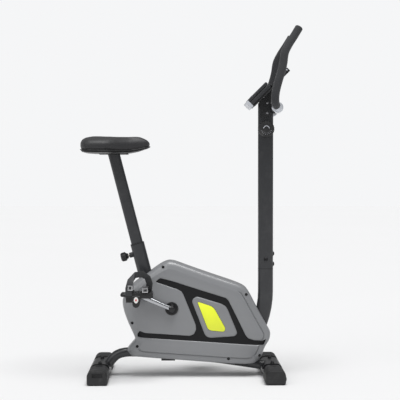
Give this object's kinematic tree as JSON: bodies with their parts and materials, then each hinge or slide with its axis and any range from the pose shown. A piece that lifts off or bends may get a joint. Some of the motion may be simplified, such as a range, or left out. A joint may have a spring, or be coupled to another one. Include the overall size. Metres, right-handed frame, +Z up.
{
  "type": "exercise bike",
  "caption": "Upright magnetic exercise bike with sliding saddle post, cranked drive in grey covers, strapped pedals, tension knob, tilting handlebar and tablet-holder console.",
  "frame": {"origin": "on the floor, below the middle of the bike's length and on its centre plane", "axes": "+X forward, as the rider faces; +Y to the rider's left; +Z up"},
  "size_m": [0.8253, 0.474, 1.3115],
  "materials": {
    "black_plastic": "satin",
    "cast": "machined",
    "chrome": "polished",
    "cover_plastic": "satin",
    "foam": "matte",
    "frame_paint": "satin",
    "housing_plastic": "satin",
    "pale_plastic": "satin",
    "rubber": "matte",
    "screen": "gloss",
    "steel": "satin",
    "vinyl": "satin"
  },
  "bodies": {
    "frame_body": {"base_tube": "frame_paint", "console_base": "black_plastic", "console_holder": "black_plastic", "console_lip": "pale_plastic", "console_lower_housing": "housing_plastic", "console_screen": "screen", "console_upper_housing": "housing_plastic", "crank_shell": "steel", "drive_belt": "rubber", "flywheel_axle": "steel", "flywheel_bracket": "steel", "front_left_cap": "black_plastic", "front_mount_plate": "frame_paint", "front_right_cap": "black_plastic", "front_stabilizer": "frame_paint", "handlebar_clamp": "frame_paint", "handlebar_cradle": "frame_paint", "handlebar_post": "frame_paint", "idler_arm": "steel", "left_badge_panel": "cover_plastic", "left_cover": "cover_plastic", "left_trim": "black_plastic", "magnet_lug": "steel", "neck_tube": "frame_paint", "rear_left_cap": "black_plastic", "rear_mount_plate": "frame_paint", "rear_right_cap": "black_plastic", "rear_stabilizer": "frame_paint", "right_badge_panel": "cover_plastic", "right_cover": "cover_plastic", "right_trim": "black_plastic", "seat_bushing": "black_plastic", "seat_tube": "frame_paint", "tension_base": "pale_plastic"},
    "crank": {"crank_axle": "steel", "crank_pulley": "black_plastic", "right_crank_arm": "chrome", "left_crank_arm": "chrome", "right_pedal_spindle": "steel", "left_pedal_spindle": "steel"},
    "right_pedal_body": {"right_pedal": "black_plastic", "right_pedal_strap": "rubber"},
    "left_pedal_body": {"left_pedal": "black_plastic", "left_pedal_strap": "rubber"},
    "flywheel_body": {"flywheel": "cast"},
    "idler_body": {"idler_pulley": "black_plastic"},
    "magnet_body": {"magnet_bracket": "steel"},
    "tension_body": {"tension_knob": "black_plastic"},
    "seat_body": {"seat_post": "frame_paint", "saddle_plate": "steel", "saddle": "vinyl"},
    "seat_knob_body": {"seat_knob": "black_plastic"},
    "handlebar_body": {"handlebar": "frame_paint", "right_grip": "foam", "left_grip": "foam", "right_pulse_sensor": "pale_plastic", "left_pulse_sensor": "pale_plastic"},
    "button_body": {"console_button": "pale_plastic"},
    "right_wheel_body": {"right_transport_wheel": "rubber"},
    "left_wheel_body": {"left_transport_wheel": "rubber"}
  },
  "joints": [
    {"name": "crank_spin", "type": "hinge", "parent": "frame_body", "child": "crank", "pos_m": [-0.0675, 0, 0.26], "axis": [0, 1, 0], "continuous": true},
    {"name": "right_pedal_spin", "type": "hinge", "parent": "crank", "child": "right_pedal_body", "pos_m": [-0.19637, -0.148, 0.3147], "axis": [0, 1, 0], "continuous": true},
    {"name": "left_pedal_spin", "type": "hinge", "parent": "crank", "child": "left_pedal_body", "pos_m": [0.06137, 0.148, 0.2053], "axis": [0, 1, 0], "continuous": true},
    {"name": "flywheel_spin", "type": "hinge", "parent": "frame_body", "child": "flywheel_body", "pos_m": [0.105, 0, 0.215], "axis": [0, 1, 0], "continuous": true},
    {"name": "idler_spin", "type": "hinge", "parent": "frame_body", "child": "idler_body", "pos_m": [0.02185, -0.039, 0.16426], "axis": [0, 1, 0], "continuous": true},
    {"name": "tension_knob_turn", "type": "hinge", "parent": "frame_body", "child": "tension_body", "pos_m": [0.289, -0.03, 0.9355], "axis": [0, -1, 0], "range_deg": [0, 270]},
    {"name": "magnet_bracket_pivot", "type": "hinge", "parent": "frame_body", "child": "magnet_body", "pos_m": [0.188, 0, 0.298], "axis": [0, -1, 0], "range_deg": [0, 6]},
    {"name": "seat_post_slide", "type": "slide", "parent": "frame_body", "child": "seat_body", "axis": [-0.2521, 0, 0.9677], "range_m": [-0.15, 0.075]},
    {"name": "seat_knob_pull", "type": "slide", "parent": "frame_body", "child": "seat_knob_body", "axis": [-0.9677, 0, -0.2521], "range_m": [0, 0.01], "stiffness_N_per_m": 800, "springref_m": -0.005},
    {"name": "handlebar_tilt", "type": "hinge", "parent": "frame_body", "child": "handlebar_body", "pos_m": [0.324, 0, 1.01], "axis": [0, 1, 0], "range_deg": [-40, 30]},
    {"name": "console_button_press", "type": "slide", "parent": "frame_body", "child": "button_body", "axis": [0.7071, 0, -0.7071], "range_m": [0, 0.0012], "stiffness_N_per_m": 500, "springref_m": -0.001},
    {"name": "right_transport_wheel_spin", "type": "hinge", "parent": "frame_body", "child": "right_wheel_body", "pos_m": [0.3325, -0.215, 0.0205], "axis": [0, 1, 0], "continuous": true},
    {"name": "left_transport_wheel_spin", "type": "hinge", "parent": "frame_body", "child": "left_wheel_body", "pos_m": [0.3325, 0.215, 0.0205], "axis": [0, 1, 0], "continuous": true}
  ],
  "couplings": [
    {"joint": "flywheel_spin", "follows": "crank_spin", "ratio": 6.7857},
    {"joint": "idler_spin", "follows": "crank_spin", "ratio": -7},
    {"joint": "magnet_bracket_pivot", "follows": "tension_knob_turn", "ratio": 0.02222}
  ]
}
